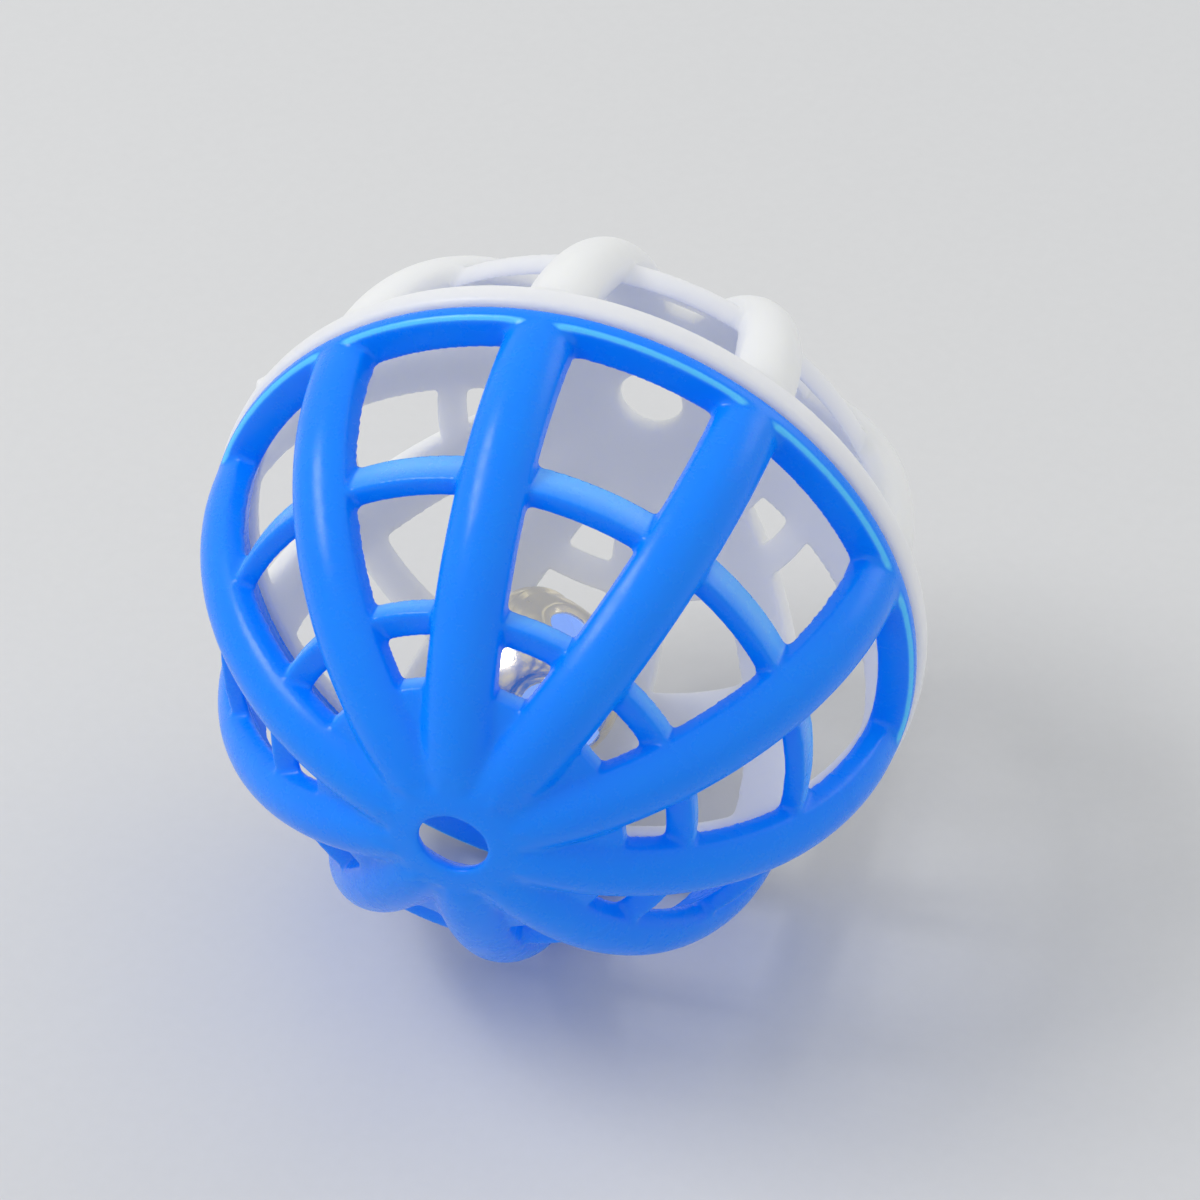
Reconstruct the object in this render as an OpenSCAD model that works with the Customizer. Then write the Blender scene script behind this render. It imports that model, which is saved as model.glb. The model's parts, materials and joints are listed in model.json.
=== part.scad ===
/* [Ball] */
// Diameter over the crests of the ribs
ball_d = 60; // [48:1:80]
// Thickness of the moulded shell
wall_t = 1.5; // [1:0.1:2]
// How far the rear half's rim stands out past the ribs
lip_proud = 0.3; // [0.2:0.1:1]
// Diameter of the cord hole in each pole
cord_hole_d = 5.6; // [4:0.1:8]
// Length of the front cord hole's straight wall, before it flares inwards
front_wall = 0.9; // [0.6:0.1:1.4]
// Length of the rear cord hole's straight wall, under its outer dish
rear_wall = 1.2; // [0.8:0.1:1.6]
// Size of the bevel round the rear cord hole's inner mouth
hole_bevel = 0.3; // [0.2:0.1:0.6]

/* [Lattice] */
// Number of ribs round each half
rib_count = 10; // [8:2:12]
// Width of a rib
rib_w = 5.5; // [4:0.1:6.6]
// Height of a rib's rounded crest above the shell
rib_h = 1.5; // [1:0.1:2]
// Angle from the pole to the edge of the closed hub
hub_angle = 27.5; // [24:0.5:29]
// Angle from the pole to the outer edge of the inner bar
bar_1_angle = 37.5; // [36:0.5:40]
// Width of the inner bar, seen along the axis
bar_1_w = 2.3; // [1.5:0.1:2.6]
// Angle from the pole to the outer edge of the outer bar
bar_2_angle = 58.5; // [55:0.5:62]
// Width of the outer bar, seen along the axis
bar_2_w = 1.8; // [1.2:0.1:2.4]

/* [Rims] */
// Height of the front half's rim, from the seam to the windows
rim_h = 1.8; // [1.2:0.1:3]
// Height of the rear half's lip, from the seam to the windows
lip_h = 2.4; // [2:0.1:3]
// Bevel on the outer edges of the rim and the lip
edge_bevel = 0.25; // [0.1:0.05:0.4]
// Length of the front half's spigot
spigot_h = 1; // [0.8:0.1:1.2]
// Thickness of the spigot's ring
spigot_t = 1.5; // [1:0.1:1.8]
// Step from the cavity wall out to the spigot's inner face
spigot_step = 0.3; // [0.2:0.1:0.5]
// Running clearance between the spigot and its socket
spigot_gap = 0.08; // [0.05:0.01:0.15]
// Gap left between the two halves at the seam
seam_gap = 0.1; // [0.05:0.05:0.2]

/* [Bell] */
// Diameter of the bell's shells
bell_d = 16; // [12:0.5:18]
// Thickness of the bell's sheet metal
bell_t = 0.5; // [0.4:0.05:0.7]
// Width of the two crossed slots
slot_w = 1.4; // [1:0.1:2]
// Angle from the foot of the bell to the round end of a slot
slot_angle = 48; // [40:1:60]
// Diameter of the round end of a slot
slot_end_d = 3.4; // [2.4:0.1:3.8]
// Thickness of the crimped seam round the bell
crimp_t = 0.3; // [0.2:0.05:0.5]
// Height of the crimped seam above the bell's middle
crimp_h = 0.85; // [0.6:0.05:1.2]
// Diameter of the loop's wire
wire_d = 1; // [0.8:0.1:1.2]
// Width of the loop, between the middles of its legs
loop_w = 4; // [3:0.1:5]
// Diameter of the pellet in the bell
pellet_d = 4.5; // [4.2:0.1:5.5]
// Gap between the bell and the wall it lies on
bell_gap = 0.3; // [0.2:0.05:0.5]
// Distance of the bell from the seam, towards the rear pole
bell_along = 6.8; // [0:0.1:9]
// Swing of the bell away from the lowest point
bell_swing = 18; // [0:0.5:30]
// Turn of the bell's foot away from the ball's seam plane
bell_yaw = -13.5; // [-30:1:30]
// Lift of the bell's foot above the level
bell_lift = 17.5; // [0:1:30]
// Turn of the slots about the bell's own axis
bell_spin = 20; // [0:1:90]

/* [Hidden] */
$fn = 96;
crest_r = ball_d / 2;
shell_r = crest_r - rib_h;
inner_r = shell_r - wall_t;
lip_r = crest_r + lip_proud;
spigot_in_r = inner_r + spigot_step;
spigot_r = spigot_in_r + spigot_t;
socket_r = spigot_r + spigot_gap;
socket_h = spigot_h + seam_gap;
// Radius and centre of the round that makes a rib's crest
round_r = (pow(rib_w / 2, 2) + pow(rib_h, 2)) / (2 * rib_h);
round_x = crest_r - round_r;
hub_r = inner_r * sin(hub_angle);
hole_r = cord_hole_d / 2;
// Step between the rear cord hole and the foot of its dish
dish_step = 0.5;
// Overrun of a shape past the face that trims it
over = 1;
// The hub's dome lies a little under the crests that run into it
dome_drop = 0.15;
dome_r = crest_r - dome_drop;
// Ribs stop where the dome covers the valleys between them
rib_step = 360 / rib_count;
dome_reach = hole_r + 2.2;
rib_sink = 0.3;
rib_start_r = dome_reach - rib_sink;
rib_arc = acos(rib_start_r / crest_r);
rib_foot_angle = asin(seam_gap * 4 / crest_r);
bell_r = bell_d / 2;
bell_in_r = bell_r - bell_t;
crimp_gap = 0.05;
crimp_in_r = bell_r + crimp_gap;
crimp_r = crimp_in_r + crimp_t;
wire_r = wire_d / 2;
loop_r = loop_w / 2;
leg_gap = 0.06;
foot_h = 0.4;
foot_r = wire_r + foot_h;
pellet_r = pellet_d / 2;
pellet_gap = 0.2;
bell_reach = inner_r - crimp_r - bell_gap;
bell_fall = sqrt(pow(bell_reach, 2) - pow(bell_along, 2));
far = 2 * ball_d;

// Stands a half with its pole towards the front, -Y
module facing_front() {
  rotate([90, 0, 0]) children();
}

// Stands a half with its pole towards the rear, +Y
module facing_rear() {
  rotate([-90, 0, 0]) children();
}

// One rib: flat sides parallel to the pole's axis and a round crest
module rib() {
  rotate([90, 0, 0])
    rotate([0, 0, rib_foot_angle])
      rotate_extrude(angle = rib_arc - rib_foot_angle)
        intersection() {
          translate([round_x, 0]) circle(r = round_r);
          translate([inner_r - wall_t, -rib_w / 2]) square([far, rib_w]);
        }
}

module ribs() {
  for (i = [0 : rib_count - 1]) rotate([0, 0, 90 + i * rib_step]) rib();
}

// A cross bar: flat on top, with an outer face parallel to the axis
module bar(angle, width) {
  top_z = shell_r * cos(angle);
  out_r = shell_r * sin(angle);
  low_z = top_z - 2 * wall_t - over;
  difference() {
    translate([0, 0, low_z]) cylinder(r = out_r, h = top_z - low_z);
    translate([0, 0, low_z - over]) cylinder(r = out_r - width, h = top_z);
  }
}

// The closed hub, with the dome that the ribs run into
module hub() {
  hub_low_z = inner_r * cos(hub_angle) - over;
  intersection() {
    sphere(r = shell_r);
    translate([0, 0, hub_low_z]) cylinder(r = hub_r, h = far);
  }
  intersection() {
    sphere(r = dome_r);
    translate([0, 0, hub_low_z]) cylinder(r = dome_reach, h = far);
  }
}

// The round cavity and the cord hole
module hollow() {
  sphere(r = inner_r);
  cylinder(r = hole_r, h = far);
}

// The front cord hole's flare, which opens towards the cavity
module front_flare() {
  top_z = sqrt(pow(dome_r, 2) - pow(hole_r, 2)) - front_wall;
  depth = top_z - inner_r + wall_t;
  translate([0, 0, top_z - depth]) cylinder(r1 = hole_r + depth, r2 = hole_r, h = depth);
}

// The bevel inside the rear cord hole and the dish outside it
module rear_mouths() {
  mouth_z = sqrt(pow(inner_r, 2) - pow(hole_r, 2));
  dish_z = mouth_z + hole_bevel + rear_wall;
  dish_h = dome_r - dish_z;
  translate([0, 0, mouth_z - hole_bevel])
    cylinder(r1 = hole_r + 2 * hole_bevel, r2 = hole_r, h = 2 * hole_bevel);
  translate([0, 0, dish_z])
    cylinder(r1 = hole_r + dish_step, r2 = hole_r + dish_step + dish_h, h = dish_h);
}

// A rim ring, flat across its top, from the cavity out to its bevelled edges
module rim(edge_r, edge_h) {
  b = edge_bevel;
  in_r = inner_r - wall_t;
  low_z = seam_gap / 2;
  rotate_extrude()
    polygon([
      [in_r, low_z], [edge_r - b, low_z], [edge_r, low_z + b],
      [edge_r, edge_h - b], [edge_r - b, edge_h], [in_r, edge_h]
    ]);
}

module front_cage() {
  color([0.0, 0.46, 1.0]) facing_front() {
    difference() {
      union() {
        ribs();
        hub();
        bar(bar_1_angle, bar_1_w);
        bar(bar_2_angle, bar_2_w);
        rim(crest_r, rim_h);
        translate([0, 0, -spigot_h]) cylinder(r = spigot_r, h = spigot_h + rim_h / 2);
      }
      hollow();
      front_flare();
      translate([0, 0, -spigot_h - over]) cylinder(r = spigot_in_r, h = spigot_h + over);
    }
  }
}

module rear_cage() {
  color([0.9, 0.9, 0.88]) facing_rear() {
    difference() {
      union() {
        ribs();
        hub();
        bar(bar_1_angle, bar_1_w);
        bar(bar_2_angle, bar_2_w);
        rim(lip_r, lip_h);
      }
      hollow();
      rear_mouths();
      translate([0, 0, -over]) cylinder(r = socket_r, h = socket_h + over);
    }
  }
}

// Puts the bell where it lies, with its foot, local -Z, turned up and to the side
module bell_place() {
  rotate([0, bell_swing, 0])
    translate([0, bell_along, -bell_fall])
      rotate([0, -bell_swing, 0]) children();
}

module bell_pose() {
  bell_place()
    rotate([0, 0, bell_yaw]) rotate([0, -90 - bell_lift, 0]) rotate([0, 0, bell_spin]) children();
}

module bell_top_shell() {
  color([0.86, 0.83, 0.74]) bell_pose() difference() {
    sphere(r = bell_r);
    sphere(r = bell_in_r);
    translate([0, 0, -far]) cylinder(r = far, h = far);
    for (side = [-1, 1]) translate([side * loop_r, 0, 0]) cylinder(r = wire_r + leg_gap, h = far);
  }
}

module bell_slots() {
  reach = bell_r * sin(slot_angle);
  depth = bell_r * cos(slot_angle);
  for (turn = [0, 90]) rotate([0, 0, turn])
    translate([-reach, -slot_w / 2, -far]) cube([2 * reach, slot_w, far - depth]);
  for (turn = [0 : 90 : 270]) rotate([0, 180 - slot_angle, turn])
    translate([0, 0, bell_in_r / 2]) cylinder(d = slot_end_d, h = bell_r);
}

module bell_bottom_shell() {
  color([0.86, 0.83, 0.74]) bell_pose() {
    difference() {
      union() {
        difference() {
          sphere(r = bell_r);
          cylinder(r = far, h = far);
        }
        rotate_extrude()
          polygon([
            [bell_in_r, -crimp_h / 2], [bell_r, -crimp_h], [crimp_r, -crimp_h / 2],
            [crimp_r, crimp_h - crimp_t / 2], [crimp_r - crimp_t / 2, crimp_h],
            [crimp_in_r, crimp_h], [crimp_in_r, 0], [bell_in_r, 0]
          ]);
      }
      sphere(r = bell_in_r);
      bell_slots();
    }
  }
}

module bell_loop() {
  neck_z = bell_r + wire_r / 2;
  foot_z = sqrt(pow(bell_in_r, 2) - pow(loop_r + foot_r, 2)) - foot_h - leg_gap;
  color([0.86, 0.83, 0.74]) bell_pose() {
    translate([0, 0, neck_z])
      rotate([90, 0, 0]) rotate_extrude(angle = 180) translate([loop_r, 0]) circle(r = wire_r, $fn = 32);
    for (side = [-1, 1]) translate([side * loop_r, 0, 0]) {
      translate([0, 0, foot_z]) cylinder(r = wire_r, h = neck_z - foot_z);
      translate([0, 0, foot_z]) cylinder(r = foot_r, h = foot_h);
    }
  }
}

module bell_pellet() {
  color([0.45, 0.45, 0.46]) bell_place()
    translate([0, 0, -(bell_in_r - pellet_r - pellet_gap)]) sphere(r = pellet_r);
}

front_cage();
rear_cage();
bell_top_shell();
bell_bottom_shell();
bell_loop();
bell_pellet();
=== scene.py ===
"""Builds the looks of a two-colour cage ball with a jingle bell inside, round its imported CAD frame."""

import json
import math

import bmesh
import bpy
from bpy.props import FloatProperty, FloatVectorProperty, IntProperty, PointerProperty
from mathutils import Matrix, Vector, noise


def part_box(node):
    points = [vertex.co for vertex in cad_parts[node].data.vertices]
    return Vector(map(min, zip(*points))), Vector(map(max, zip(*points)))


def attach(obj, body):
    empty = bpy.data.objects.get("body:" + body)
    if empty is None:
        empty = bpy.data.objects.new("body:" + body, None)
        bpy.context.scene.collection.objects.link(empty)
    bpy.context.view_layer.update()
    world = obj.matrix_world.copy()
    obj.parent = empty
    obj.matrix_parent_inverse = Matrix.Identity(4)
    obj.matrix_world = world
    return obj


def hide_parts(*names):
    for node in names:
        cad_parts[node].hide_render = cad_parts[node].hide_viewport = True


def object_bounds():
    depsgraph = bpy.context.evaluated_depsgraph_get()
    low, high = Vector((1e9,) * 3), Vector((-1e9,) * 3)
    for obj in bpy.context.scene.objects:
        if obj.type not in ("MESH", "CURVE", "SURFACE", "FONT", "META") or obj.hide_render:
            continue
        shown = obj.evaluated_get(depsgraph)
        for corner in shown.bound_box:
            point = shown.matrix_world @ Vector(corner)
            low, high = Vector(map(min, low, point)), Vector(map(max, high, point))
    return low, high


bl_info = {
    "name": "Cage Ball",
    "version": (1, 0, 0),
    "blender": (4, 5, 0),
    "location": "View3D > Sidebar > Cage Ball",
    "description": "Builds a two-colour cage ball with a jingle bell inside",
    "category": "Object",
}

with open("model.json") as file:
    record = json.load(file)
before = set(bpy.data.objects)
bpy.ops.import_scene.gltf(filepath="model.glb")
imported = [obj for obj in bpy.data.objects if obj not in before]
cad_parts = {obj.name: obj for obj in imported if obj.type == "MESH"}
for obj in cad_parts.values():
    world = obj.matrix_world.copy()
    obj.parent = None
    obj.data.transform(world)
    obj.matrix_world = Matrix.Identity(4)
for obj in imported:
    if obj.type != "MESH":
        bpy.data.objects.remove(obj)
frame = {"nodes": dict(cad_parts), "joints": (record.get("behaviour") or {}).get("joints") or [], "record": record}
cad_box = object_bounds()

MM = 0.001
FULL_TURN = 2 * math.pi
MOST_TRIANGLES = 190000
SOFTEN = 0.5

FLOOR_HALF = 2.0
KEY_SIZE = (0.34, 0.20)
KEY_STAND = Vector((-0.40, -0.10, 0.52))
WINDOW_SIZE = (0.32, 0.24)
WINDOW_STAND = Vector((0.36, 0.36, 0.26))
SENSOR_WIDTH = 36.0
NEAREST = 0.01


# Places and radii that the frame settles


def named(rows, name):
    """The row of a list of the record that has this name."""
    return next(row for row in rows if row["name"] == name)


def reach(node, centre):
    """The furthest that a CAD node's surface lies from a point."""
    return max((v.co - centre).length for v in frame["nodes"][node].data.vertices)


front_mount = named(frame["record"]["mounts"], "front_cord_hole")
rear_mount = named(frame["record"]["mounts"], "rear_cord_hole")
bell_hinge = named(frame["joints"], "pellet_roll")

CREST_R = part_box("front_cage")[1].x
LIP_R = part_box("rear_cage")[1].x - 0.02 * MM
HOLE_R = front_mount["dims"]["r_mm"] * MM
DOME_R = CREST_R - 0.15 * MM
RIB_END_R = HOLE_R + 2.6 * MM
SEAM_GAP = 0.05 * MM
BELL_CENTRE = Vector(bell_hinge["pos_m"])
BELL_FOOT = Vector(bell_hinge["axis"]).normalized()
BELL_R = reach("bell_top_shell", BELL_CENTRE)
SLOT_ARMS = 4


def bore_span(mount):
    """The heights along the axis at which a mount's straight wall starts and ends."""
    middle = abs(mount["pos_m"][1])
    half = mount["dims"]["length_mm"] * MM / 2
    return middle - half, middle + half


# Settings that a user would change


def length_setting(name, about, value):
    """A length, given in millimetres."""
    return FloatProperty(name=name, description=about, default=value * MM, unit="LENGTH", precision=5)


def angle_setting(name, about, value):
    """An angle, given in degrees."""
    return FloatProperty(name=name, description=about, default=math.radians(value), subtype="ANGLE")


def colour_setting(name, about, value):
    """A colour without transparency."""
    return FloatVectorProperty(
        name=name, description=about, subtype="COLOR", size=4, min=0, max=1, default=(*value, 1.0)
    )


class BallCageSizes(bpy.types.PropertyGroup):
    """Sizes of the two moulded cages"""

    rib_count: IntProperty(name="Ribs", description="Ribs round each half", default=10, min=6, max=14)
    rib_width: length_setting("Rib width", "Width of a rib", 5.5)
    rib_height: length_setting("Rib height", "Height of a rib's crest above the shell", 1.5)
    wall: length_setting("Wall", "Thickness of the shell", 1.5)
    hub_angle: angle_setting("Hub angle", "Angle from the pole to the edge of the closed hub", 27.5)
    inner_bar_angle: angle_setting("Inner bar angle", "From the pole to the inner bar's outer edge", 37.5)
    inner_bar_width: length_setting("Inner bar width", "Width of the inner bar, seen along the axis", 2.3)
    outer_bar_angle: angle_setting("Outer bar angle", "From the pole to the outer bar's outer edge", 58.5)
    outer_bar_width: length_setting("Outer bar width", "Width of the outer bar, seen along the axis", 1.8)
    front_rim: length_setting("Front rim", "Height of the front half's rim", 1.8)
    rear_lip: length_setting("Rear lip", "Height of the rear half's lip", 2.4)
    grain: length_setting("Mesh size", "Size of the faces of the moulded surface", 0.21)


class BellSizes(bpy.types.PropertyGroup):
    """Sizes of the bell's pressed shells and its wire loop"""

    sheet: length_setting("Sheet", "Thickness of the sheet metal", 0.5)
    crimp: length_setting("Crimp", "Thickness of the crimped seam", 0.3)
    crimp_height: length_setting("Crimp height", "Height of the crimped seam", 0.85)
    slot: length_setting("Slot width", "Width of the crossed slots", 1.4)
    slot_end: length_setting("Slot end", "Diameter of a slot's round end", 4.0)
    slot_angle: angle_setting("Slot angle", "Angle from the bell's foot to a slot's end", 48)
    spin: angle_setting("Spin", "Turn of the slots about the bell's axis", 20)
    roll: length_setting("Rolled edge", "Depth of a slot's rolled edge", 0.45)
    roll_width: length_setting("Roll width", "Width of a slot's rolled edge", 0.6)
    dent: length_setting("Dents", "Depth of the sheet's slow dents", 0.35)
    dent_size: length_setting("Dent size", "Width of the sheet's slow dents", 3.2)
    wire: length_setting("Wire", "Diameter of the loop's wire", 1.0)
    loop: length_setting("Loop", "Width of the loop between its legs", 4.0)
    grain: length_setting("Mesh size", "Size of the faces of the shells", 0.13)


class BallColours(bpy.types.PropertyGroup):
    """Colours of the plastics and the plated bell"""

    blue: colour_setting("Blue plastic", "Colour of the front cage", (0.0, 0.25, 1.0))
    white: colour_setting("White plastic", "Colour of the rear cage", (0.83, 0.83, 0.81))
    plate: colour_setting("Bell plate", "Colour of the bell's plating", (1.0, 0.91, 0.70))
    floor: colour_setting("Floor", "Colour of the floor", (0.70, 0.70, 0.70))


class BallStage(bpy.types.PropertyGroup):
    """Where the camera stands and how bright the studio is"""

    azimuth: angle_setting("Azimuth", "Turn of the camera to the right", 17.815)
    elevation: angle_setting("Elevation", "Height of the camera above the horizon", 40.826)
    roll: angle_setting("Roll", "Roll of the camera", -2.611)
    distance: length_setting("Distance", "Distance of the camera from the ball's middle", 357.15)
    aim: FloatVectorProperty(
        name="Aim",
        description="How far to the right of and above the ball's middle the camera aims",
        size=2,
        default=(3.186 * MM, 0.045 * MM),
        unit="LENGTH",
        precision=5,
    )
    lens: FloatProperty(
        name="Lens", description="Focal length in millimetres", default=130.83, subtype="DISTANCE_CAMERA"
    )
    sky: FloatProperty(name="Sky", description="Strength of the even light from all round", default=0.7)
    key: FloatProperty(
        name="Key lamp", description="Power of the large soft lamp", default=1.6, unit="POWER"
    )
    window: FloatProperty(
        name="Window", description="Power of the soft lamp behind the ball", default=0.3, unit="POWER"
    )


# Mesh helpers


def arc(radius, start, end, steps, middle=0.0):
    """Points on an arc about (middle, 0), from one angle to another."""
    turns = (start + (end - start) * i / steps for i in range(steps + 1))
    return [(middle + radius * math.cos(t), radius * math.sin(t)) for t in turns]


def revolve(bm, outline, steps=144, closed=True):
    """Spins an outline of (radius, height) points right round the pole's axis."""
    verts = [bm.verts.new((r, 0.0, z)) for r, z in outline]
    follow = verts[1:] + verts[:1] if closed else verts[1:]
    edges = [bm.edges.new(pair) for pair in zip(verts, follow)]
    bmesh.ops.spin(
        bm,
        geom=verts + edges,
        cent=(0, 0, 0),
        axis=(0, 0, 1),
        angle=FULL_TURN,
        steps=steps,
        use_merge=True,
    )


def finish_mesh(bm, name, pose):
    """Turns a bmesh into a linked object whose place is in its mesh."""
    bmesh.ops.remove_doubles(bm, verts=bm.verts, dist=0.0005 * MM)
    bmesh.ops.recalc_face_normals(bm, faces=bm.faces)
    bmesh.ops.transform(bm, matrix=pose, verts=bm.verts)
    mesh = bpy.data.meshes.new(name)
    bm.to_mesh(mesh)
    bm.free()
    piece = bpy.data.objects.new(name, mesh)
    bpy.context.scene.collection.objects.link(piece)
    mesh.shade_smooth()
    return piece


def apply_modifiers(piece):
    """Makes what the modifiers give the piece's own mesh."""
    graph = bpy.context.evaluated_depsgraph_get()
    made = bpy.data.meshes.new_from_object(piece.evaluated_get(graph))
    made.name = piece.name
    piece.modifiers.clear()
    piece.data = made
    made.shade_smooth()


def add_smooth(piece, name, rounds):
    """A Smooth modifier of so many rounds."""
    smooth = piece.modifiers.new(name, "SMOOTH")
    smooth.factor = SOFTEN
    smooth.iterations = rounds
    return smooth


def mould(piece, face_size, rounds):
    """Joins the overlapping solids of a piece into one skin with small moulded fillets."""
    skin = piece.modifiers.new("skin", "REMESH")
    skin.mode = "VOXEL"
    skin.voxel_size = face_size
    add_smooth(piece, "soften", rounds)
    apply_modifiers(piece)
    triangles = 2 * len(piece.data.polygons)
    if triangles > MOST_TRIANGLES:
        thin = piece.modifiers.new("thin", "DECIMATE")
        thin.ratio = MOST_TRIANGLES / triangles
        add_smooth(piece, "level", 2)
        apply_modifiers(piece)


# The cages


def cavity_radius(sizes):
    """The radius of the sphere inside the cage's wall."""
    return CREST_R - sizes.rib_height - sizes.wall


def add_ribs(bm, sizes, low_z):
    """Sweeps one rib from the rim up to the hub, then copies it round the pole."""
    inner_r = cavity_radius(sizes)
    half = sizes.rib_width / 2
    crest = (half**2 + sizes.rib_height**2) / (2 * sizes.rib_height)
    spread = math.asin(half / crest)
    round_top = arc(crest, -spread, spread, 10, CREST_R - crest)
    section = [(inner_r, -half)] + round_top + [(inner_r, half)]
    start = math.asin(low_z / inner_r)
    end = math.acos(RIB_END_R / CREST_R)
    turn = Matrix.Rotation(start, 3, "X")
    face = bm.faces.new([bm.verts.new(turn @ Vector((w, r, 0))) for r, w in section])
    bmesh.ops.spin(
        bm,
        geom=[face, *face.edges, *face.verts],
        cent=(0, 0, 0),
        axis=(1, 0, 0),
        angle=end - start,
        steps=48,
    )
    rib = bm.verts[:] + bm.edges[:] + bm.faces[:]
    for i in range(1, sizes.rib_count):
        copy = bmesh.ops.duplicate(bm, geom=rib)["geom"]
        verts = [g for g in copy if isinstance(g, bmesh.types.BMVert)]
        turn = Matrix.Rotation(FULL_TURN * i / sizes.rib_count, 3, "Z")
        bmesh.ops.rotate(bm, cent=(0, 0, 0), matrix=turn, verts=verts)


def add_bar(bm, sizes, angle, width):
    """A cross bar: flat on top, a straight outer face, and blunt edges where it meets the cavity."""
    inner_r = cavity_radius(sizes)
    shell_r = inner_r + sizes.wall
    blunt = 0.5 * MM
    top_z = shell_r * math.cos(angle)
    out_r = shell_r * math.sin(angle)
    in_r = out_r - width
    foot_z = math.sqrt(inner_r**2 - out_r**2)
    under_r = math.hypot(out_r - blunt, foot_z)
    blunt_z = min(top_z - blunt, math.sqrt(under_r**2 - in_r**2))
    curve = arc(under_r, math.atan2(foot_z, out_r - blunt), math.asin(blunt_z / under_r), 6)
    revolve(bm, [(out_r, foot_z)] + curve + [(in_r, blunt_z), (in_r, top_z), (out_r, top_z)])


def add_lattice(bm, sizes, low_z):
    """The ribs and the two rings of cross bars."""
    add_ribs(bm, sizes, low_z)
    add_bar(bm, sizes, sizes.inner_bar_angle, sizes.inner_bar_width)
    add_bar(bm, sizes, sizes.outer_bar_angle, sizes.outer_bar_width)


def add_rim(bm, sizes, edge_r, edge_h, step):
    """The rim ring, closed by the spigot's or the socket's own outline, which runs inwards."""
    inner_r = cavity_radius(sizes)
    bevel = 0.35 * MM
    outline = [
        (math.sqrt(inner_r**2 - edge_h**2), edge_h),
        (edge_r - bevel, edge_h),
        (edge_r, edge_h - bevel),
        (edge_r, SEAM_GAP + bevel),
        (edge_r - bevel, SEAM_GAP),
    ]
    revolve(bm, outline + step)


def add_gate_nub(bm, sizes):
    """The small nub that is left where the plastic entered the mould, on the lip's edge."""
    nub_r, sunk = 0.5 * MM, 0.1 * MM
    height = sizes.rear_lip * 0.6
    turn = Matrix.Rotation(math.radians(-146), 4, "Z")
    place = Matrix.Translation((LIP_R - sunk, 0, height))
    bmesh.ops.create_icosphere(bm, subdivisions=2, radius=nub_r, matrix=turn @ place)


def add_hub(bm, sizes, mouth):
    """The closed hub: mouth is the cord hole's outline from the cavity out to the dome."""
    inner_r = cavity_radius(sizes)
    shell_r = inner_r + sizes.wall
    edge_r = inner_r * math.sin(sizes.hub_angle)
    brim_r = HOLE_R + 2.2 * MM
    foot_r = brim_r + 3.2 * MM
    start = mouth[0]
    inside = arc(inner_r, math.acos(edge_r / inner_r), math.atan2(start[1], start[0]), 12)
    cap = arc(DOME_R, math.atan2(mouth[-1][1], mouth[-1][0]), math.acos(brim_r / DOME_R), 4)
    outside = arc(shell_r, math.acos(foot_r / shell_r), math.acos(edge_r / shell_r), 8)
    revolve(bm, inside + mouth[1:-1] + cap + outside)


def true_cavity(piece, inner_r, marks=()):
    """Lays the cavity's wall on its sphere, with the round marks of the mould's pins a hair proud."""
    mark_r = 0.6 * MM
    mark_h = 0.15 * MM
    skirt = 0.2 * MM
    least_square, quite_square = 0.6, 0.95
    normals = [normal.vector.copy() for normal in piece.data.vertex_normals]
    for vert, normal in zip(piece.data.vertices, normals):
        way = vert.co.normalized()
        above = vert.co.length - inner_r
        square = (-normal.dot(way) - least_square) / (quite_square - least_square)
        square = min(1.0, max(0.0, square))
        if above < 0:
            vert.co = way * inner_r
        elif above < skirt:
            vert.co -= way * above * square
        on_wall = above < skirt and square > 0.5
        if on_wall and any((vert.co - mark).length < mark_r for mark in marks):
            vert.co = way * (inner_r - mark_h)
    piece.data.update()


def pin_marks(sizes):
    """Where the mould's pins pushed: one on each rib's inner face, between its bars."""
    inner_r = cavity_radius(sizes)
    from_pole = math.radians(51)
    tilt = Matrix.Rotation(from_pole, 3, "X")
    top = Vector((0, inner_r, 0))
    turns = (FULL_TURN * (i + 0.5) / sizes.rib_count for i in range(sizes.rib_count))
    return [Matrix.Rotation(turn, 3, "Y") @ tilt @ top for turn in turns]


def smooth_hub(piece, rounds):
    """Runs the ribs' ends softly into the dome round the pole."""
    group = piece.vertex_groups.new(name="hub")
    near = 6 * MM
    far = 11 * MM
    for vert in piece.data.vertices:
        rho = math.hypot(vert.co.x, vert.co.z)
        if rho < far:
            group.add([vert.index], min(1.0, (far - rho) / (far - near)), "REPLACE")
    add_smooth(piece, "level", 3)
    add_smooth(piece, "hub", rounds).vertex_group = group.name
    apply_modifiers(piece)


def dimple_hub(piece):
    """A ring of shallow dimples in the dome round the cord hole."""
    ring = 5.8 * MM
    spread = 0.8 * MM
    depth = 0.09 * MM
    count = 24
    dome_floor = CREST_R - 1.4 * MM
    for vert in piece.data.vertices:
        rho = math.hypot(vert.co.x, vert.co.z)
        if abs(rho - ring) < spread and vert.co.length > dome_floor:
            fade = math.cos((rho - ring) / spread * math.pi / 2) ** 2
            wave = 0.5 + 0.5 * math.cos(count * math.atan2(vert.co.z, vert.co.x))
            vert.co -= vert.co.normalized() * depth * fade * wave


def mould_cage(piece, sizes, marks=()):
    """Moulds a half in one skin, trues its cavity and finishes its hub."""
    mould(piece, sizes.grain, 5)
    true_cavity(piece, cavity_radius(sizes), marks)
    smooth_hub(piece, 12)
    dimple_hub(piece)


# The bell


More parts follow.
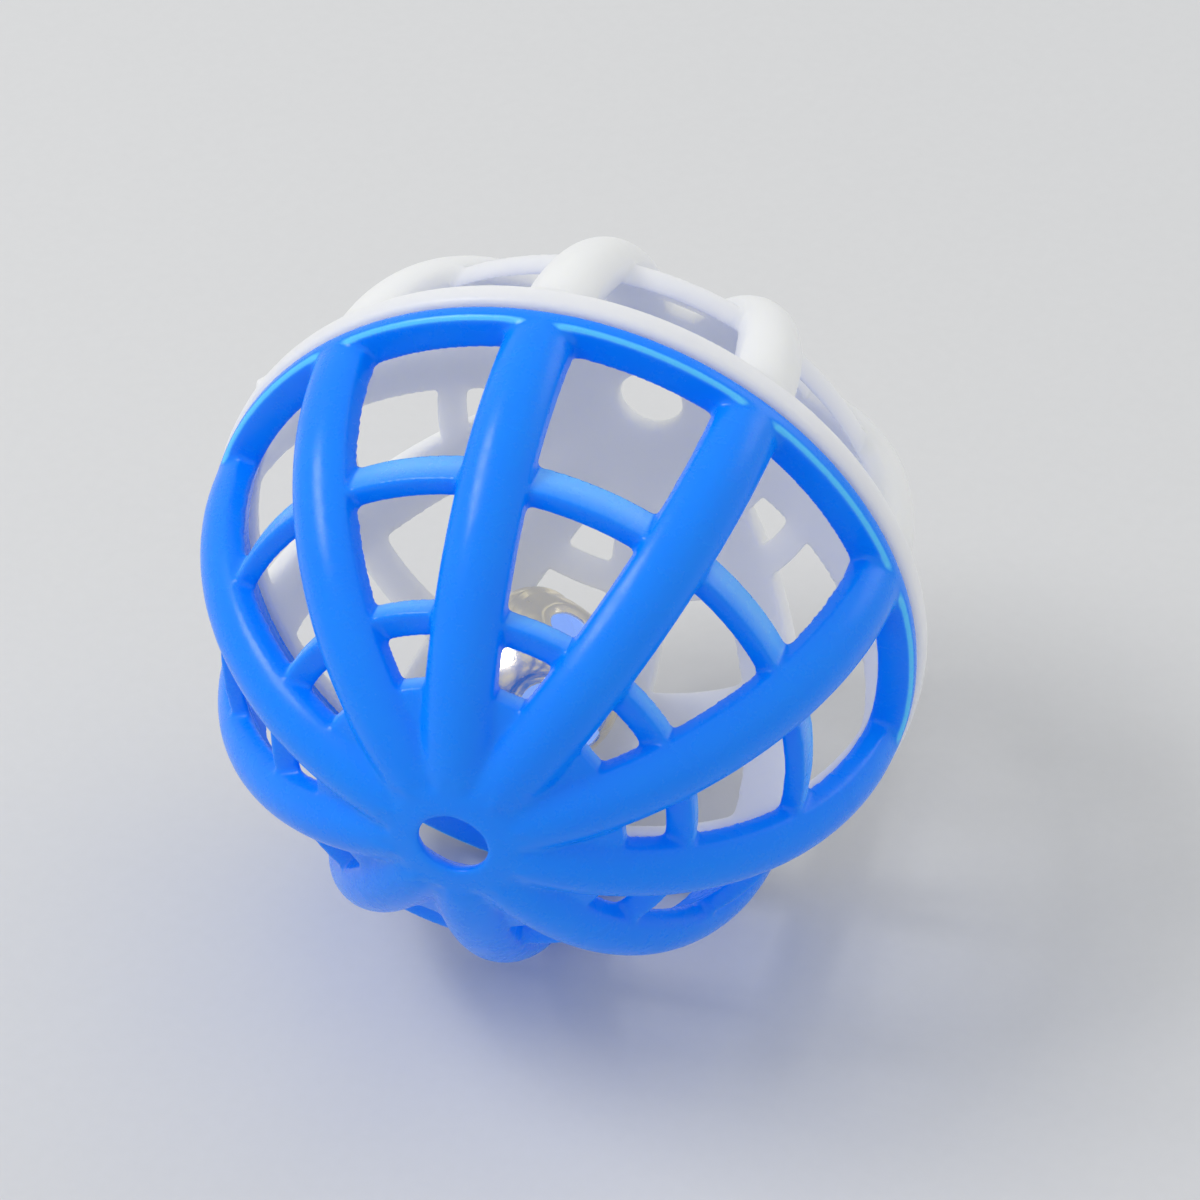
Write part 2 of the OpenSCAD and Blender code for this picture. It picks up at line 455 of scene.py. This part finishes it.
def bell_pose(sizes):
    """Where the bell lies: its foot, local -Z, points along the frame's bell axis."""
    yaw = math.atan2(BELL_FOOT.y, BELL_FOOT.x)
    lift = math.asin(BELL_FOOT.z)
    turn = Matrix.Rotation(yaw, 4, "Z") @ Matrix.Rotation(-math.pi / 2 - lift, 4, "Y")
    return Matrix.Translation(BELL_CENTRE) @ turn @ Matrix.Rotation(sizes.spin, 4, "Z")


def slot_distance(way, sizes):
    """How far along the shell a direction lies from the nearest slot's edge."""
    polar = math.acos(max(-1.0, min(1.0, -way.z)))
    nearest = BELL_R
    end = Vector((math.sin(sizes.slot_angle), 0, -math.cos(sizes.slot_angle)))
    for i in range(SLOT_ARMS):
        turn = FULL_TURN * i / SLOT_ARMS
        along = way.x * math.cos(turn) + way.y * math.sin(turn)
        aside = abs(way.y * math.cos(turn) - way.x * math.sin(turn))
        gap = BELL_R * end.angle(Vector((along, aside, way.z))) - sizes.slot_end / 2
        nearest = min(nearest, gap)
        if along > 0 and polar < sizes.slot_angle:
            nearest = min(nearest, BELL_R * math.asin(min(1.0, aside)) - sizes.slot / 2)
    return max(0.0, nearest)


def press_bell(piece, sizes, slotted):
    """Rolls the slots' edges inwards and dents the thin sheet, then puts the shell in its place."""
    stiff = 2 * sizes.crimp_height
    for vert in piece.data.vertices:
        way = vert.co.normalized()
        drop = sizes.dent * (0.5 + 0.5 * noise.noise(vert.co / sizes.dent_size))
        drop *= min(1.0, abs(vert.co.z) / stiff)
        if slotted:
            drop += sizes.roll * math.exp(-((slot_distance(way, sizes) / sizes.roll_width) ** 2))
        vert.co -= way * drop
    piece.data.transform(bell_pose(sizes))
    piece.data.update()


# Materials


def node_group(name, inputs, outputs):
    """A shader node group with named sockets, and its input and output nodes."""
    group = bpy.data.node_groups.new(name, "ShaderNodeTree")
    for label, kind, value in inputs:
        socket = group.interface.new_socket(label, in_out="INPUT", socket_type=kind)
        socket.default_value = value
    for label, kind in outputs:
        group.interface.new_socket(label, in_out="OUTPUT", socket_type=kind)
    return group, group.nodes.new("NodeGroupInput"), group.nodes.new("NodeGroupOutput")


def math_node(tree, operation, first, second, clamp=False):
    """A Math node on two sockets or numbers, and its output."""
    node = tree.nodes.new("ShaderNodeMath")
    node.operation = operation
    node.use_clamp = clamp
    for socket, value in zip(node.inputs, (first, second)):
        if isinstance(value, bpy.types.NodeSocket):
            tree.links.new(value, socket)
        else:
            socket.default_value = value
    return node.outputs[0]


def vector_node(tree, operation, first, second):
    """A Vector Math node on sockets or a vector, and its output."""
    node = tree.nodes.new("ShaderNodeVectorMath")
    node.operation = operation
    tree.links.new(first, node.inputs[0])
    if isinstance(second, bpy.types.NodeSocket):
        tree.links.new(second, node.inputs[1])
    elif second is not None:
        node.inputs[1].default_value = second
    return node.outputs["Value" if operation in ("DOT_PRODUCT", "LENGTH") else "Vector"]


def noise_node(tree, vector, scale, detail=3.0, roughness=0.5):
    """A Noise Texture's grey output at a scale given as a number or a socket."""
    node = tree.nodes.new("ShaderNodeTexNoise")
    tree.links.new(vector, node.inputs["Vector"])
    if isinstance(scale, bpy.types.NodeSocket):
        tree.links.new(scale, node.inputs["Scale"])
    else:
        node.inputs["Scale"].default_value = scale
    node.inputs["Detail"].default_value = detail
    node.inputs["Roughness"].default_value = roughness
    return node.outputs["Fac"]


def spread_node(tree, value, low, high, to_low=0.0, to_high=1.0):
    """A Map Range node, clamped."""
    node = tree.nodes.new("ShaderNodeMapRange")
    tree.links.new(value, node.inputs["Value"])
    for label, number in (("From Min", low), ("From Max", high), ("To Min", to_low), ("To Max", to_high)):
        if isinstance(number, bpy.types.NodeSocket):
            tree.links.new(number, node.inputs[label])
        else:
            node.inputs[label].default_value = number
    return node.outputs["Result"]


def share_length(tree, vector, kept):
    """The length of a vector's kept components."""
    return vector_node(tree, "LENGTH", vector_node(tree, "MULTIPLY", vector, kept), None)


def moulded_skin_group():
    """Moulded plastic: slow ripples, a fine satin grain and rubbed patches."""
    group, given, made = node_group(
        "Moulded Skin",
        [
            ("Vector", "NodeSocketVector", (0, 0, 0)),
            ("Ripple Scale", "NodeSocketFloat", 220.0),
            ("Grain Scale", "NodeSocketFloat", 2600.0),
            ("Roughness", "NodeSocketFloat", 0.3),
            ("Rub", "NodeSocketFloat", 0.12),
        ],
        [("Height", "NodeSocketFloat"), ("Roughness", "NodeSocketFloat"), ("Tone", "NodeSocketFloat")],
    )
    vector = given.outputs["Vector"]
    ripple = noise_node(group, vector, given.outputs["Ripple Scale"], 1.0)
    grain = noise_node(group, vector, given.outputs["Grain Scale"], 2.0)
    slow = math_node(group, "MULTIPLY", ripple, 0.8)
    fine = math_node(group, "MULTIPLY", grain, 0.06)
    height = math_node(group, "ADD", slow, fine)
    patches = spread_node(group, noise_node(group, vector, 420.0, 5.0, 0.65), 0.45, 0.7)
    rubbed = math_node(group, "MULTIPLY", patches, given.outputs["Rub"])
    rough = math_node(group, "ADD", given.outputs["Roughness"], rubbed)
    tone = noise_node(group, vector, 90.0, 2.0)
    group.links.new(height, made.inputs["Height"])
    group.links.new(rough, made.inputs["Roughness"])
    group.links.new(tone, made.inputs["Tone"])
    return group


def painted_bar_light_group():
    """A mask of the bars' outer faces, by their place and their facing, where a paler tint is painted as light
    through the plastic.
    """
    group, given, made = node_group(
        "Painted Bar Light",
        [("Vector", "NodeSocketVector", (0, 0, 0)), ("Top", "NodeSocketFloat", 28.5 * MM)],
        [("Mask", "NodeSocketFloat")],
    )
    place = given.outputs["Vector"]
    facing = group.nodes.new("ShaderNodeTexCoord").outputs["Normal"]
    flat = vector_node(group, "MULTIPLY", place, (1.0, 0.0, 1.0))
    outward = vector_node(group, "NORMALIZE", flat, None)
    turned = vector_node(group, "DOT_PRODUCT", facing, outward)
    reach = vector_node(group, "LENGTH", place, None)
    side = spread_node(group, turned, 0.75, 0.97)
    depth = math_node(group, "SUBTRACT", given.outputs["Top"], reach)
    low = spread_node(group, depth, 0.0, 0.9 * MM)
    group.links.new(math_node(group, "MULTIPLY", side, low, True), made.inputs["Mask"])
    return group


def rim_highlight_group():
    """The painted highlight along the bevel of a half's rim: a pale line, placed by its place and its facing."""
    group, given, made = node_group(
        "Rim Painted Highlight",
        [
            ("Vector", "NodeSocketVector", (0, 0, 0)),
            ("Radius", "NodeSocketFloat", 29.9 * MM),
            ("Height", "NodeSocketFloat", 1.7 * MM),
        ],
        [("Mask", "NodeSocketFloat")],
    )
    place = given.outputs["Vector"]
    facing = group.nodes.new("ShaderNodeTexCoord").outputs["Normal"]
    rho = share_length(group, place, (1.0, 0.0, 1.0))
    along = share_length(group, place, (0.0, 1.0, 0.0))
    axial = share_length(group, facing, (0.0, 1.0, 0.0))
    aside = math_node(group, "SUBTRACT", rho, given.outputs["Radius"])
    above = math_node(group, "SUBTRACT", along, given.outputs["Height"])
    aside = math_node(group, "ABSOLUTE", aside, 0.0)
    above = math_node(group, "ABSOLUTE", above, 0.0)
    gap = math_node(group, "ADD", aside, above)
    near = spread_node(group, gap, 0.3 * MM, 0.6 * MM, 1.0, 0.0)
    past_wall = spread_node(group, axial, 0.3, 0.55)
    short_of_face = spread_node(group, axial, 0.9, 0.99, 1.0, 0.0)
    tilted = math_node(group, "MULTIPLY", past_wall, short_of_face)
    group.links.new(math_node(group, "MULTIPLY", near, tilted, True), made.inputs["Mask"])
    return group


def shared_group(name, maker):
    """A node group that is built once and used by every material that wants it."""
    return bpy.data.node_groups.get(name) or maker()


def new_material(name):
    """An empty node material, its Principled shader and the Object coordinates."""
    material = bpy.data.materials.new(name)
    material.use_nodes = True
    tree = material.node_tree
    shader = tree.nodes["Principled BSDF"]
    place = tree.nodes.new("ShaderNodeTexCoord")
    return material, tree, shader, place.outputs["Object"]


def use_group(tree, group, vector, **values):
    """Places a shared group in a material with its own values."""
    node = tree.nodes.new("ShaderNodeGroup")
    node.node_tree = group
    tree.links.new(vector, node.inputs["Vector"])
    for label, value in values.items():
        node.inputs[label.replace("_", " ")].default_value = value
    return node


def mix_colours(tree, factor, first, second):
    """A Mix node on two colours or sockets."""
    node = tree.nodes.new("ShaderNodeMix")
    node.data_type = "RGBA"
    tree.links.new(factor, node.inputs["Factor"])
    for socket, value in ((node.inputs["A"], first), (node.inputs["B"], second)):
        if isinstance(value, bpy.types.NodeSocket):
            tree.links.new(value, socket)
        else:
            socket.default_value = value
    return node.outputs["Result"]


def add_bump(tree, height, shader, strength, distance):
    """Puts a height on the shader as a bump."""
    bump = tree.nodes.new("ShaderNodeBump")
    bump.inputs["Strength"].default_value = strength
    bump.inputs["Distance"].default_value = distance
    tree.links.new(height, bump.inputs["Height"])
    tree.links.new(bump.outputs["Normal"], shader.inputs["Normal"])


def plastic(name, colour, deep, painted_highlight, painted_light_tint, roughness, glow, glow_reach, painted_glow):
    """Soft gloss moulded plastic: deep is its thick tone, mixed in at random; the rim's bevel gets a pale painted
    highlight, and the bars' outer faces a paler tint painted as light through the plastic.

    An emission of the given strength paints a glow over the whole surface, standing in for light that a
    translucent wall passes on to its shaded side.
    """
    material, tree, shader, vector = new_material(name)
    skin = use_group(tree, shared_group("Moulded Skin", moulded_skin_group), vector, Roughness=roughness)
    # The masks below pick where light is painted: a paler tint on the bars' outer faces and a pale highlight line
    # on the rim's bevel.
    thin = use_group(tree, shared_group("Painted Bar Light", painted_bar_light_group), vector)
    rim = use_group(tree, shared_group("Rim Painted Highlight", rim_highlight_group), vector)
    body = mix_colours(tree, skin.outputs["Tone"], colour, deep)
    # Painted light: the paler tint on the bars' outer faces.
    body = mix_colours(tree, thin.outputs["Mask"], body, painted_light_tint)
    # Painted highlight: the pale line along the rim's bevel.
    body = mix_colours(tree, rim.outputs["Mask"], body, painted_highlight)
    tree.links.new(body, shader.inputs["Base Color"])
    # Painted glow: the emission lights the plastic from within, standing in for light through the translucent
    # wall.
    tree.links.new(body, shader.inputs["Emission Color"])
    shader.inputs["Emission Strength"].default_value = painted_glow
    tree.links.new(skin.outputs["Roughness"], shader.inputs["Roughness"])
    add_bump(tree, skin.outputs["Height"], shader, 0.35, 0.15 * MM)
    shader.inputs["Specular IOR Level"].default_value = 0.3
    shader.inputs["Subsurface Weight"].default_value = glow
    shader.inputs["Subsurface Radius"].default_value = glow_reach
    shader.inputs["Subsurface Scale"].default_value = 1.0 * MM
    return material


def shade(colour, factor):
    """A colour made darker or paler by a factor, kept within 0 to 1."""
    return [min(1.0, c * factor) for c in colour[:3]] + [1.0]


def blue_plastic(colours):
    """The front cage's blue plastic."""
    return plastic(
        "blue_plastic",
        colour=list(colours.blue),
        deep=(0.0, 0.21, 1.0, 1.0),
        # Colour of the highlight painted on the rim's bevel.
        painted_highlight=(0.1, 0.55, 1.0, 1.0),
        # Colour of the light painted on the bars' outer faces.
        painted_light_tint=(0.14, 0.45, 1.0, 1.0),
        roughness=0.24,
        glow=0.35,
        glow_reach=(0.05, 0.6, 1.0),
        # Strength of the painted glow of the blue plastic.
        painted_glow=0.08,
    )


def white_plastic(colours):
    """The rear cage's milky white plastic."""
    white = list(colours.white)
    return plastic(
        "white_plastic",
        colour=white,
        deep=shade(white, 0.96),
        # Colour of the highlight painted on the rim's bevel, a little paler than the white.
        painted_highlight=shade(white, 1.08),
        painted_light_tint=white,
        roughness=0.3,
        glow=0.9,
        glow_reach=(4.0, 4.0, 3.6),
        # Strength of the painted glow of the white plastic.
        painted_glow=0.03,
    )


def bell_plating(name, colour, roughness, inner_colour_and_painted_reflection, painted_glow):
    """Bright plating on thin pressed metal; faces turned in towards the bell's middle get a non-metal inner
    colour, which inside the bell is a painted reflection, and an emission of the given strength paints a glow
    there.
    """
    material, tree, shader, vector = new_material(name)
    skin = use_group(
        tree,
        shared_group("Moulded Skin", moulded_skin_group),
        vector,
        Roughness=roughness,
        Ripple_Scale=260.0,
        Grain_Scale=5200.0,
        Rub=0.10,
    )
    middle = vector_node(tree, "SUBTRACT", vector, tuple(BELL_CENTRE))
    facing = tree.nodes.new("ShaderNodeTexCoord").outputs["Normal"]
    outward = vector_node(tree, "DOT_PRODUCT", facing, vector_node(tree, "NORMALIZE", middle, None))
    inside = spread_node(tree, outward, -0.3, 0.0, 1.0, 0.0)
    outer = mix_colours(tree, skin.outputs["Tone"], colour, shade(colour, 0.9))
    # Faces turned in get the inner colour, which for the bell is a painted bluish reflection.
    tree.links.new(mix_colours(tree, inside, outer, inner_colour_and_painted_reflection), shader.inputs["Base Color"])
    tree.links.new(skin.outputs["Roughness"], shader.inputs["Roughness"])
    tree.links.new(spread_node(tree, inside, 0.0, 1.0, 1.0, 0.0), shader.inputs["Metallic"])
    # Painted glow: the emission lights the faces turned in, inside the bell.
    tree.links.new(mix_colours(tree, inside, (0.0, 0.0, 0.0, 1.0), inner_colour_and_painted_reflection), shader.inputs["Emission Color"])
    shader.inputs["Emission Strength"].default_value = painted_glow
    add_bump(tree, skin.outputs["Height"], shader, 0.6, 0.2 * MM)
    return material


def carry_over(node, material):
    """Gives a CAD node its finish."""
    piece = frame["nodes"][node]
    piece.data.materials.clear()
    piece.data.materials.append(material)


# Operators


class BALL_OT_stage(bpy.types.Operator):
    """Make the floor, the soft studio light and the camera"""

    bl_idname = "ball.stage"
    bl_label = "Stage"

    def execute(self, context):
        scene = context.scene
        stage = scene.ball_stage
        scene.view_settings.view_transform = "Standard"
        self.make_floor(scene)
        self.make_light(scene, stage)
        self.make_camera(scene, stage)
        return {"FINISHED"}

    def make_floor(self, scene):
        bm = bmesh.new()
        bmesh.ops.create_grid(bm, x_segments=8, y_segments=8, size=FLOOR_HALF)
        bmesh.ops.translate(bm, vec=(0, 0, cad_box[0].z), verts=bm.verts)
        floor = finish_mesh(bm, "floor", Matrix())
        material, tree, shader, vector = new_material("floor_paper")
        tone = spread_node(tree, noise_node(tree, vector, 900.0, 4.0), 0.3, 0.7)
        paper = list(scene.ball_colours.floor)
        tree.links.new(mix_colours(tree, tone, paper, shade(paper, 0.985)), shader.inputs["Base Color"])
        shader.inputs["Roughness"].default_value = 0.9
        shader.inputs["Specular IOR Level"].default_value = 0.1
        floor.data.materials.append(material)

    def make_light(self, scene, stage):
        world = bpy.data.worlds.new("studio")
        scene.world = world
        world.use_nodes = True
        sky = world.node_tree.nodes["Background"]
        sky.inputs["Color"].default_value = (0.97, 0.985, 1.0, 1.0)
        sky.inputs["Strength"].default_value = stage.sky
        self.make_lamp(scene, "key", KEY_SIZE, stage.key, KEY_STAND)
        self.make_lamp(scene, "window", WINDOW_SIZE, stage.window, WINDOW_STAND)

    def make_lamp(self, scene, name, size, power, stand):
        """A large soft lamp that faces the ball."""
        lamp = bpy.data.lights.new(name, "AREA")
        lamp.shape = "RECTANGLE"
        lamp.size, lamp.size_y = size
        lamp.energy = power
        holder = bpy.data.objects.new(name, lamp)
        scene.collection.objects.link(holder)
        facing = stand.to_track_quat("Z", "Y").to_matrix().to_4x4()
        holder.matrix_world = Matrix.Translation(stand) @ facing

    def make_camera(self, scene, stage):
        across = Matrix.Rotation(stage.azimuth, 3, "Z")
        tilt = Matrix.Rotation(math.pi / 2 - stage.elevation, 3, "X")
        turn = across @ tilt @ Matrix.Rotation(stage.roll, 3, "Z")
        lens = bpy.data.cameras.new("camera")
        lens.lens = stage.lens
        lens.sensor_width = SENSOR_WIDTH
        lens.clip_start = NEAREST
        camera = bpy.data.objects.new("camera", lens)
        scene.collection.objects.link(camera)
        stand = turn @ Vector((stage.aim[0], stage.aim[1], stage.distance))
        camera.matrix_world = Matrix.Translation(stand) @ turn.to_4x4()
        scene.camera = camera


class BALL_OT_front_cage(bpy.types.Operator):
    """Model the blue half: ribs, bars, hub with its cord hole, rim and spigot"""

    bl_idname = "ball.front_cage"
    bl_label = "Front Cage"

    def execute(self, context):
        sizes = context.scene.ball_sizes
        inner_r = cavity_radius(sizes)
        rib_foot_z = 0.6 * MM
        bm = bmesh.new()
        add_lattice(bm, sizes, rib_foot_z)
        low, high = bore_span(front_mount)
        total = HOLE_R + low
        flare_z = (total + math.sqrt(2 * inner_r**2 - total**2)) / 2
        mouth = [(total - flare_z, flare_z), (HOLE_R, low), (HOLE_R, high)]
        add_hub(bm, sizes, mouth + [(HOLE_R, high)])
        spigot_in = inner_r + 0.3 * MM
        spigot_out = inner_r + 1.75 * MM
        spigot_z = -0.95 * MM
        lead_in = 0.2 * MM
        step = [
            (spigot_out, SEAM_GAP),
            (spigot_out, spigot_z + lead_in),
            (spigot_out - lead_in, spigot_z),
            (spigot_in, spigot_z),
            (spigot_in, SEAM_GAP),
            (inner_r, SEAM_GAP),
        ]
        add_rim(bm, sizes, CREST_R, sizes.front_rim, step)
        piece = finish_mesh(bm, "front_cage_skin", Matrix.Rotation(math.pi / 2, 4, "X"))
        mould_cage(piece, sizes)
        piece.data.materials.append(blue_plastic(context.scene.ball_colours))
        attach(piece, "front_half")
        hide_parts("front_cage")
        return {"FINISHED"}


class BALL_OT_rear_cage(bpy.types.Operator):
    """Model the white half: ribs, bars, hub with its dished cord hole, and smooth lip"""

    bl_idname = "ball.rear_cage"
    bl_label = "Rear Cage"

    def execute(self, context):
        sizes = context.scene.ball_sizes
        inner_r = cavity_radius(sizes)
        rib_foot_z = 1.5 * MM
        bm = bmesh.new()
        add_lattice(bm, sizes, rib_foot_z)
        low, high = bore_span(rear_mount)
        bevel_r = HOLE_R + 0.37 * MM
        dish_r = HOLE_R + 0.5 * MM
        rise = high - dish_r
        brim_r = (math.sqrt(2 * DOME_R**2 - rise**2) - rise) / 2
        mouth = [
            (bevel_r, math.sqrt(inner_r**2 - bevel_r**2)),
            (HOLE_R, low),
            (HOLE_R, high),
            (dish_r, high),
            (brim_r, math.sqrt(DOME_R**2 - brim_r**2)),
        ]
        add_hub(bm, sizes, mouth)
        socket_r = inner_r + 1.95 * MM
        socket_z = 1.1 * MM
        step = [
            (socket_r, SEAM_GAP),
            (socket_r, socket_z),
            (math.sqrt(inner_r**2 - socket_z**2), socket_z),
        ]
        add_rim(bm, sizes, LIP_R, sizes.rear_lip, step)
        add_gate_nub(bm, sizes)
        piece = finish_mesh(bm, "rear_cage_skin", Matrix.Rotation(-math.pi / 2, 4, "X"))
        mould_cage(piece, sizes, pin_marks(sizes))
        piece.data.materials.append(white_plastic(context.scene.ball_colours))
        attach(piece, "rear_half")
        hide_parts("rear_cage")
        return {"FINISHED"}


class BALL_OT_bell(bpy.types.Operator):
    """Model the bell's two pressed shells and its wire loop, and finish the pellet"""

    bl_idname = "ball.bell"
    bl_label = "Bell"

    def execute(self, context):
        sizes = context.scene.bell_sizes
        colours = context.scene.ball_colours
        # A painted bluish reflection for the bell's inside, brightened further by a painted glow.
        inside = (0.55, 0.72, 0.99, 1.0)
        plating = bell_plating("bell_plate", list(colours.plate), roughness=0.2, inner_colour_and_painted_reflection=inside, painted_glow=0.2)
        pieces = (
            (self.bottom_shell(sizes), "bell_bottom_shell"),
            (self.top_shell(sizes), "bell_top_shell"),
            (self.wire_loop(sizes), "bell_loop"),
        )
        for piece, node in pieces:
            piece.data.materials.append(plating)
            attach(piece, "bell")
            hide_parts(node)
        steel = [0.45, 0.45, 0.46, 1.0]
        carry_over("bell_pellet", bell_plating("pellet_steel", steel, roughness=0.28, inner_colour_and_painted_reflection=steel, painted_glow=0.0))
        return {"FINISHED"}

    def bottom_shell(self, sizes):
        inner_r = BELL_R - sizes.sheet
        lap_r = BELL_R + 0.05 * MM
        rim_r = lap_r + sizes.crimp
        high = sizes.crimp_height
        outer = arc(BELL_R, -math.pi / 2, -math.asin(high / BELL_R), 40)
        crimp = [
            (rim_r, -high / 2),
            (rim_r, high - sizes.crimp / 2),
            (rim_r - sizes.crimp / 2, high),
            (lap_r, high),
            (lap_r, 0.0),
        ]
        inner = arc(inner_r, 0.0, -math.pi / 2, 40)
        bm = bmesh.new()
        revolve(bm, outer + crimp + inner, closed=False)
        piece = finish_mesh(bm, "bell_bottom_skin", Matrix())
        cutter = self.slot_cutter(sizes)
        cut = piece.modifiers.new("slots", "BOOLEAN")
        cut.object = cutter
        cut.solver = "EXACT"
        cut.use_self = True
        apply_modifiers(piece)
        bpy.data.objects.remove(cutter)
        mould(piece, sizes.grain, 4)
        press_bell(piece, sizes, slotted=True)
        return piece

    def slot_cutter(self, sizes):
        """Two crossed slots with round ends, through the foot of the shell."""
        reach = BELL_R * math.sin(sizes.slot_angle)
        bm = bmesh.new()
        size = Matrix.Diagonal((2 * reach, sizes.slot, BELL_R, 1))
        spot = Matrix.Translation((0, 0, -BELL_R * math.cos(sizes.slot_angle) - BELL_R / 2))
        for turn in (0, math.pi / 2):
            bmesh.ops.create_cube(bm, size=1.0, matrix=Matrix.Rotation(turn, 4, "Z") @ spot @ size)
        lean = Matrix.Rotation(math.pi - sizes.slot_angle, 4, "Y")
        for i in range(SLOT_ARMS):
            turn = Matrix.Rotation(FULL_TURN * i / SLOT_ARMS, 4, "Z") @ lean
            bmesh.ops.create_cone(
                bm,
                cap_ends=True,
                segments=48,
                radius1=sizes.slot_end / 2,
                radius2=sizes.slot_end / 2,
                depth=BELL_R,
                matrix=turn @ Matrix.Translation((0, 0, BELL_R)),
            )
        return finish_mesh(bm, "slot_cutter", Matrix())

    def top_shell(self, sizes):
        outer = arc(BELL_R, math.pi / 2, 0.0, 40)
        inner = arc(BELL_R - sizes.sheet, 0.0, math.pi / 2, 40)
        bm = bmesh.new()
        revolve(bm, outer + inner, closed=False)
        piece = finish_mesh(bm, "bell_top_skin", Matrix())
        mould(piece, sizes.grain, 3)
        press_bell(piece, sizes, slotted=False)
        return piece

    def wire_loop(self, sizes):
        """A half ring of wire with two legs that go into the top shell."""
        wire_r = sizes.wire / 2
        half = sizes.loop / 2
        neck_z = BELL_R + wire_r / 2
        foot_z = BELL_R - 2.2 * MM
        bm = bmesh.new()
        ring = bmesh.ops.create_circle(bm, segments=24, radius=wire_r)["verts"]
        bmesh.ops.translate(bm, vec=(half, 0, foot_z), verts=ring)
        edges = self.extend(bm, bm.edges[:], neck_z - foot_z)
        bent = bmesh.ops.spin(
            bm, geom=edges, cent=(0, 0, neck_z), axis=(0, 1, 0), angle=-math.pi, steps=32
        )["geom_last"]
        self.extend(bm, [g for g in bent if isinstance(g, bmesh.types.BMEdge)], foot_z - neck_z)
        bmesh.ops.holes_fill(bm, edges=[e for e in bm.edges if e.is_boundary])
        return finish_mesh(bm, "bell_loop_skin", bell_pose(sizes))

    def extend(self, bm, edges, rise):
        """Carries a ring of edges along the bell's axis and returns the new ring."""
        made = bmesh.ops.extrude_edge_only(bm, edges=edges)["geom"]
        verts = [g for g in made if isinstance(g, bmesh.types.BMVert)]
        bmesh.ops.translate(bm, vec=(0, 0, rise), verts=verts)
        return [g for g in made if isinstance(g, bmesh.types.BMEdge) and all(v in verts for v in g.verts)]


class BALL_PT_panel(bpy.types.Panel):
    """Lists the pieces and their settings"""

    bl_idname = "BALL_PT_panel"
    bl_label = "Cage Ball"
    bl_space_type = "VIEW_3D"
    bl_region_type = "UI"
    bl_category = "Cage Ball"

    def draw(self, context):
        layout = self.layout
        for operator in OPERATORS:
            layout.operator(operator.bl_idname)
        scene = context.scene
        for group in (scene.ball_sizes, scene.bell_sizes, scene.ball_colours, scene.ball_stage):
            box = layout.box()
            for name in group.__annotations__:
                box.prop(group, name)


OPERATORS = (BALL_OT_stage, BALL_OT_front_cage, BALL_OT_rear_cage, BALL_OT_bell)
CLASSES = (BallCageSizes, BellSizes, BallColours, BallStage, *OPERATORS, BALL_PT_panel)


def register():
    for cls in CLASSES:
        bpy.utils.register_class(cls)
    bpy.types.Scene.ball_sizes = PointerProperty(type=BallCageSizes)
    bpy.types.Scene.bell_sizes = PointerProperty(type=BellSizes)
    bpy.types.Scene.ball_colours = PointerProperty(type=BallColours)
    bpy.types.Scene.ball_stage = PointerProperty(type=BallStage)


def unregister():
    del bpy.types.Scene.ball_stage
    del bpy.types.Scene.ball_colours
    del bpy.types.Scene.bell_sizes
    del bpy.types.Scene.ball_sizes
    for cls in reversed(CLASSES):
        bpy.utils.unregister_class(cls)


def main():
    """Registers the add-on and builds every piece."""
    register()
    bpy.ops.ball.stage()
    bpy.ops.ball.front_cage()
    bpy.ops.ball.rear_cage()
    bpy.ops.ball.bell()


if __name__ == "__main__":
    main()
